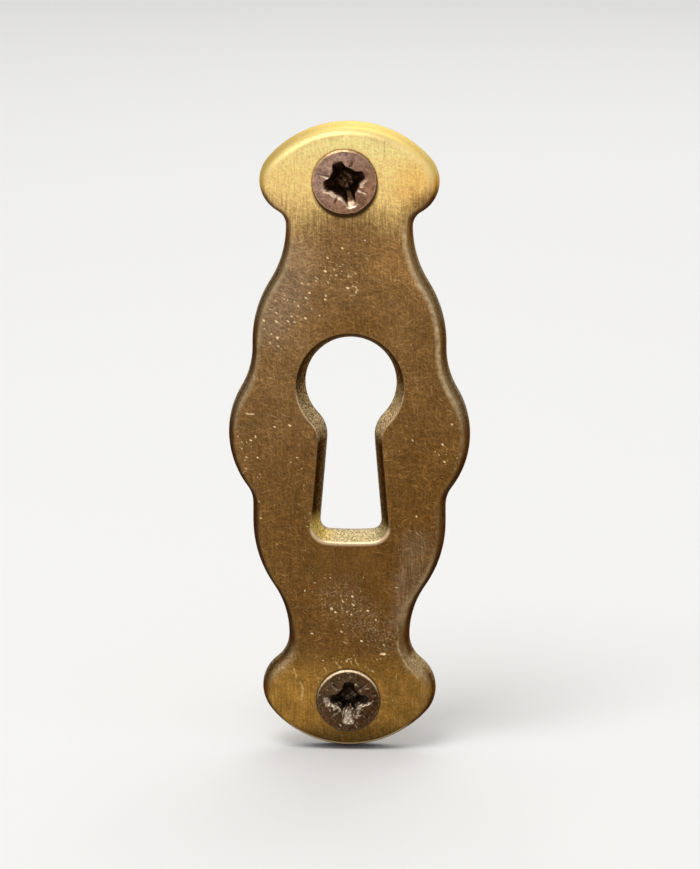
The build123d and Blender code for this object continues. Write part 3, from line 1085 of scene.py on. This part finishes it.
def outer_wall_shade(n, bare, y, z, rust, top):
    """The outer wall: pitted; dusty and painted lighter where it faces up, with a painted highlight at the
    top; painted shade where it faces down or to the left.
    """
    pitted = 1.0 - top * 0.75
    across, _, upward = n.split(n.add("TexCoord", None, "Normal"))
    faces_up = n.ramp(upward, 0.0, 0.4)
    faces_down = n.ramp(upward, 0.0, -0.5)
    faces_left = n.ramp(across, -0.3, -0.9) * pitted
    pits = n.ramp(rust, 0.62, 0.36, 0.0, 0.6) * pitted
    level = 0.97 - pits * n.ramp(y, -1.2, -1.7, 1.0, 0.5)
    dirty = n.ramp(y, -1.75, -1.2) * n.ramp(y, -0.4, -0.75) * pitted
    dirty = dirty * n.ramp(rust, 0.66, 0.44, 0.3, 1.0)
    # Dirt in a band across the wall, and painted shade where it faces down or to the left
    level = level * (1.0 - dirty * 0.4) * (1.0 - faces_down * 0.5) * (1.0 - faces_left * 0.5)
    # Painted highlight where the wall faces up at the top
    shade = n.scaled(n.mix(faces_up * top, bare, LIT_CROWN_BRASS), level)
    # Dust with painted light where the wall faces up, and a little where it faces right
    dust_and_light = faces_up * 0.72 + n.ramp(across, -0.6, 0.6, 0.03, 0.18)
    dust_and_light = dust_and_light * n.ramp(rust, 0.42, 0.58, 0.3, 1.15) * n.ramp(z, -18.0, -21.0, 1.0, 0.55)
    dust_and_light = dust_and_light * n.ramp(faces_down, 0.0, 0.6, 1.0, 0.1) * (1.0 - dirty * 0.6)
    below_top = n.ramp(z, 20.5, 18.6)
    shade = n.mix(dust_and_light * below_top, shade, WALL_DUST_AND_LIGHT)
    # A painted highlight line near the front where the wall faces up
    line = n.ramp(y, -0.85, -0.35) * n.ramp(rust, 0.44, 0.58, 0.05, 0.9)
    return n.mix(line * faces_up * below_top, shade, WALL_TOP_HIGHLIGHT)


def edge_rub_and_highlight_mask(n, plane, x, z, point, rust, wall):
    """How far the outer edge is paled, most on the upper right flank, the lower ears and the tip: partly
    rubbed bare and partly a painted highlight.
    """
    edge_rub_and_highlight = n.ramp(n.noise(point, 1.2, 3.0), 0.35, 0.65, 0.05, 0.25) * n.ramp(z, 1.0, -3.0, 1.0, 0.3)
    right = n.ramp(x, 2.0, 5.0, 0.12, 0.46) * n.ramp(z, 1.5, 4.0) * n.ramp(z, 20.5, 18.5)
    ears = n.most(n.near(plane, *LOWER_RIGHT_EAR), n.near(plane, *LOWER_LEFT_EAR))
    ears = ears * n.ramp(rust, 0.4, 0.6, 0.1, 0.42)
    edge_rub_and_highlight = edge_rub_and_highlight + right + n.most(n.stroke(plane, *FLANK_EDGE_HIGHLIGHT) * 0.22, ears)
    edge_rub_and_highlight = edge_rub_and_highlight * n.ramp(n.noise(point, 2.6, 4.0, 0.65), 0.36, 0.62, 0.45, 1.2)
    edge_rub_and_highlight = edge_rub_and_highlight * n.ramp(z, -25.0, -27.0, 1.0, 0.15)
    # A painted highlight along the bottom tip's edge
    tip = n.ramp(z, -26.5, -28.2, 0.0, 0.85) * n.ramp(wall, 0.3, 0.75)
    return n.most(edge_rub_and_highlight, tip)


def back_shade(n, plane, cloud, grain, edge):
    """The back: filed flat, tarnished in clouds, stained round the screws and rubbed along its border."""
    bent = n.warped(plane, 0.3, 0.5)
    filed = n.most(n.scuffs(bent, 24, 0.7), n.scuffs(bent, -31, 0.9) - 0.09)
    tarnish = n.noise(plane, 0.17, 6.0, 0.66)
    shade = n.mix(n.ramp(tarnish, 0.4, 0.62), BACK_BRASS, BACK_BROWN)
    shade = n.scaled(shade, n.ramp(filed, 0.38, 0.7, 0.74, 1.2))
    shade = n.scaled(shade, n.ramp(grain, 0.25, 0.75, 0.88, 1.12))
    ragged = n.warped(plane, 0.6, 1.2)
    holes = [seat["origin"][::2] for seat in (TOP_SEAT, BOTTOM_SEAT)]
    stain = n.most(*[n.near(ragged, *hole, HOLE_RADIUS, HOLE_RADIUS + 2.4) for hole in holes])
    shade = n.mix(stain * n.ramp(cloud, 0.3, 0.6, 0.6, 0.95), shade, BACK_STAIN)
    shade = n.mix(n.specks(bent, 0.9, 0.22) * 0.7, shade, BACK_STAIN)
    return n.mix(edge * 0.7, shade, RUBBED_AND_LIT_BRASS)


def brass_material():
    material, n = new_material("aged_brass")
    point = n.millimetres()
    x, y, z = n.split(point)
    plane = n.join(x, z, 0.0)
    wall, edge, keyhole, back = (n.attribute(key) for key in ("wall", "edge", "keyhole", "back"))
    cloud = n.noise(point, 0.22, 4.0)
    grain = n.noise(point, 5.5, 3.0, 0.65)
    rust = n.noise(point, 6.0, 4.0, 0.75)
    drawn_x, _, drawn_z = n.split(n.warped(point, 0.4, 0.3))
    drawn = n.join(drawn_x * 7.5, y, drawn_z * 0.55)
    streak = n.noise(drawn, 1.0, 3.0, 0.62) - 0.5
    lines = scratch_mask(n, plane)
    scuffs = scuff_height(n, plane)

    shade, top, foot = front_shade(n, plane, x, z, cloud, grain, streak)
    brushing = n.most(top, foot)
    bare = shade
    shade = n.mix(haze_and_reflection_mask(n, plane, cloud, streak, grain), shade, HAZE_AND_REFLECTION)
    contrast = (1.0 - brushing * 0.5) * (1.0 - n.stroke(plane, *FEW_SCUFFS) * 0.6)
    strokes = n.ramp(scuffs, 0.46, 0.74, -0.28, 0.42) * contrast
    shade = n.scaled(shade, strokes + 1.0)
    shade = n.mix(lines * 0.1, shade, RUBBED_AND_LIT_BRASS)
    patches = n.ramp(n.noise(plane, 0.3, 3.0), 0.42, 0.62, 0.1, 0.5)
    rubs = n.ramp(scuffs, 0.66, 0.77) * patches * contrast
    shade = n.mix(rubs, shade, RUBBED_AND_LIT_BRASS)
    shade = n.mix(speck_mask(n, plane), shade, FLAKE)
    shade = n.mix(dint_mask(n, plane, grain), shade, FLAKE)
    shade = n.mix(mark_mask(n, plane, BRIGHT_MARKS) * 0.7, shade, FLAKE)
    shade = n.mix(mark_mask(n, plane, CURLS, 1.7, 0.75) * 0.72, shade, CURL_GOLD)
    shade = n.mix(mark_mask(n, plane, DARK_MARKS) * 0.6, shade, SLOT_SHADE_AND_DARK_MARKS)

    outer_wall = outer_wall_shade(n, bare, y, z, rust, top)
    shade = n.mix(wall, shade, n.mix(keyhole, outer_wall, keyhole_shade(n, x, y, z, rust)))
    outer_edge = edge * (1.0 - keyhole)
    # Painted shade that dims the highlight on the top's outer edge, in the middle
    crown_edge_shade = outer_edge * top * n.ramp(abs(x), 6.0, 3.0)
    shade = n.scaled(shade, 1.0 - crown_edge_shade * 0.26)
    edge_rub_and_highlight = edge_rub_and_highlight_mask(n, plane, x, z, point, rust, wall)
    # The outer edge, partly rubbed and partly painted with highlights
    shade = n.mix(edge_rub_and_highlight * outer_edge, shade, RUBBED_AND_LIT_BRASS)
    # The keyhole's edge at the foot and on the bow's lower sides: rubbed, and painted with a highlight
    bow_lip = n.ramp(x, 2.0, -2.0, 0.5, 0.75) * n.ramp(z, 0.0, 1.2) * n.ramp(z, 5.0, 3.0)
    lip = edge * keyhole * n.most(n.ramp(z, -8.2, -9.0), bow_lip, 0.08)
    shade = n.mix(lip, shade, LIP_WEAR_AND_HIGHLIGHT)
    # Painted light and shade on the worn facet of the lower right ear
    shade = n.mix(n.most(keyhole, back), facet_light_and_shade(n, plane, rust, shade), shade)
    # Painted shadow below the screw heads
    shade = n.mix(head_shadow_mask(n, plane), shade, HEAD_SHADOW_BROWN)
    shade = n.mix(back, shade, back_shade(n, plane, cloud, grain, edge))
    finish = 0.34 - brushing * 0.08 + n.most(wall, back) * 0.12 + cloud * 0.16 - lip * 0.2
    relief = streak * brushing * 1.2 + grain * 0.6 - lines * 0.6 + wall * rust * 3.0
    set_metal(n, shade, finish, BRASS_SHEEN, relief, depth=0.012)
    return material


STEEL_SHEEN = (0.55, 0.45, 0.38)
# Painted light on the heads: paler on the lit upper left, browner on the lower right
LIT_SIDE_TINT = (1.1, 1.12, 1.15)
SHADED_SIDE_TINT = (0.92, 0.79, 0.66)
TOP_FINISH = {
    "body": (0.31, 0.185, 0.13),
    "wear_and_highlight": (0.92, 0.72, 0.51),
    "rim": (0.66, 0.43, 0.21),
    "chip": (0.5, 0.36, 0.27),
    "recess": (0.07, 0.036, 0.018),
    "glint": (0.34, 0.29, 0.25),
    "chips": 0.15,
}
BOTTOM_FINISH = {
    "body": (0.078, 0.041, 0.018),
    "wear_and_highlight": (0.66, 0.53, 0.4),
    "rim": (0.95, 0.72, 0.45),
    "chip": (0.52, 0.41, 0.29),
    "recess": (0.09, 0.062, 0.042),
    "glint": (0.32, 0.33, 0.33),
    "chips": 0.9,
}


def screw_material(name, finish, seat):
    material, n = new_material(name)
    point = n.millimetres()
    x, y, z = n.split(point)
    side, _, height = seat["origin"]
    wear_and_highlight, grime_and_shade, rim = (n.attribute(key) for key in ("wear_and_highlight", "grime_and_shade", "rim"))
    cloud = n.noise(point, 0.7, 4.0, 0.65)
    grain = n.noise(point, 4.2, 3.0, 0.7)
    body = n.scaled(finish["body"], n.ramp(cloud, 0.3, 0.7, 0.72, 1.28))
    body = n.scaled(body, n.ramp(grain, 0.3, 0.7, 0.6, 1.4))
    # Painted light: paler toward the upper left, browner toward the lower right
    slant = n.ramp(x - z, side - height - 3.0, side - height + 3.0)
    body = n.vector("MULTIPLY", body, n.mix(slant, LIT_SIDE_TINT, SHADED_SIDE_TINT))
    plane = n.join(x, z, 0.0)
    rub_and_highlight = n.most(n.scuffs(plane, 40, 1.2), n.scuffs(plane, -50, 1.5))
    body = n.mix(n.ramp(rub_and_highlight, 0.58, 0.75, 0.0, 0.3), body, finish["chip"])
    lower = n.ramp(z, height + 0.7, height - 0.9, 0.15, 1.0)
    inner = n.near(plane, side - 0.3, height, 1.9, 2.6)
    lower = lower * (inner * 0.75 + 0.25)
    spots = lower * 0.09 + n.noise(point, 2.5, 3.0, 0.66)
    flecks = n.ramp(spots, 0.635, 0.675, 0.0, finish["chips"]) * n.ramp(y, -1.2, -1.8)
    body = n.mix(flecks, body, finish["chip"])
    broken = n.ramp(grain, 0.4, 0.6, 0.6 - 0.4 * finish["chips"], 1.0)
    # Wear, and the tick marks' painted highlights, in the wear colour
    body = n.mix(wear_and_highlight * broken, body, finish["wear_and_highlight"])
    # The rubbed rim, with a painted highlight on its lit side
    body = n.mix(rim, body, n.scaled(finish["rim"], n.ramp(grain, 0.32, 0.6, 0.55, 1.0)))
    # Grime in the recess, and the tick marks' painted shade, in the recess colour
    body = n.mix(grime_and_shade, body, n.scaled(finish["recess"], n.ramp(grain, 0.35, 0.7, 0.3, 2.2)))
    glints = n.ramp(n.noise(point, 5.0, 2.0), 0.67, 0.73) * grime_and_shade
    body = n.mix(glints, body, finish["glint"])
    roughness = n.ramp(cloud, 0.2, 0.8, 0.34, 0.5)
    set_metal(n, body, roughness, STEEL_SHEEN, flecks * 0.8 + grain, depth=0.015)
    return material


def dress(piece, node, material):
    piece.data.materials.append(material)
    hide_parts(node)
    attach(piece, "root")


FLOOR_SIZE = 2.0
FLOOR_COLOUR = (0.9, 0.895, 0.88)
WORLD_COLOUR = (0.86, 0.86, 0.86)
WORLD_LIGHT = 0.62


def add_floor():
    mesh = bpy.data.meshes.new("floor")
    shape = bmesh.new()
    bmesh.ops.create_grid(shape, x_segments=4, y_segments=4, size=FLOOR_SIZE / 2)
    shape.to_mesh(mesh)
    shape.free()
    floor = bpy.data.objects.new("floor", mesh)
    floor.location = (0, 0, cad_box[0][2])
    bpy.context.scene.collection.objects.link(floor)
    material, n = new_material("pale_floor")
    inputs = {"Base Color": FLOOR_COLOUR, "Roughness": 0.8, "Specular IOR Level": 0.2}
    n.feed(n.tree.nodes["Principled BSDF"], inputs)
    mesh.materials.append(material)


def add_world():
    """Even light from all around, less of it on what isn't seen directly or in a reflection."""
    world = bpy.data.worlds.new("studio")
    world.use_nodes = True
    n = Nodes(world.node_tree)
    path = n.node("LightPath")
    rays = ("Is Camera Ray", "Is Glossy Ray", "Is Transmission Ray")
    seen = n.most(*[Value(n, path.outputs[ray]) for ray in rays])
    inputs = {"Color": WORLD_COLOUR, "Strength": n.ramp(seen, 0, 1, WORLD_LIGHT, 1.0)}
    n.feed(n.tree.nodes["Background"], inputs)
    bpy.context.scene.world = world


def add_lamp(name, place, size, radiance):
    """A square soft box aimed at the origin, seen as that bright. Its place and size are in millimetres."""
    data = bpy.data.lights.new(name, "AREA")
    data.shape = "SQUARE"
    data.size = size * MM
    data.energy = radiance * math.pi * (size * MM) ** 2
    lamp = bpy.data.objects.new(name, data)
    lamp.location = Vector(place) * MM
    lamp.rotation_euler = (-Vector(place)).to_track_quat("-Z", "Y").to_euler()
    bpy.context.scene.collection.objects.link(lamp)


def add_camera():
    data = bpy.data.cameras.new("camera")
    data.sensor_width = SENSOR_SIZE
    data.lens = SENSOR_SIZE * FOCAL_PIXELS / IMAGE_HEIGHT
    data.clip_start = 0.01
    camera = bpy.data.objects.new("camera", data)
    tilt = Matrix.Rotation(math.pi / 2 - CAMERA_ELEVATION, 4, "X")
    axes = Matrix.Rotation(CAMERA_AZIMUTH, 4, "Z") @ tilt
    back = Matrix.Translation((0, 0, CAMERA_DISTANCE * MM))
    camera.matrix_world = Matrix.Translation(Vector(CAMERA_TARGET) * MM) @ axes @ back
    bpy.context.scene.collection.objects.link(camera)
    bpy.context.scene.camera = camera


dress(build_plate(), "escutcheon_plate", brass_material())
top_finish = screw_material("worn_bronze", TOP_FINISH, TOP_SEAT)
bottom_finish = screw_material("dark_bronze", BOTTOM_FINISH, BOTTOM_SEAT)
dress(build_screw("top_screw", TOP_SEAT, TOP_LOOK), "fixing_screws", top_finish)
bottom_screw = build_screw("bottom_screw", BOTTOM_SEAT, BOTTOM_LOOK)
dress(bottom_screw, "fixing_screws", bottom_finish)
add_floor()
add_world()
add_lamp("key", place=(-150, -260, 560), size=330, radiance=5.4)
add_lamp("back", place=(40, 420, 430), size=420, radiance=1.5)
add_camera()
bpy.context.scene.view_settings.view_transform = "Standard"
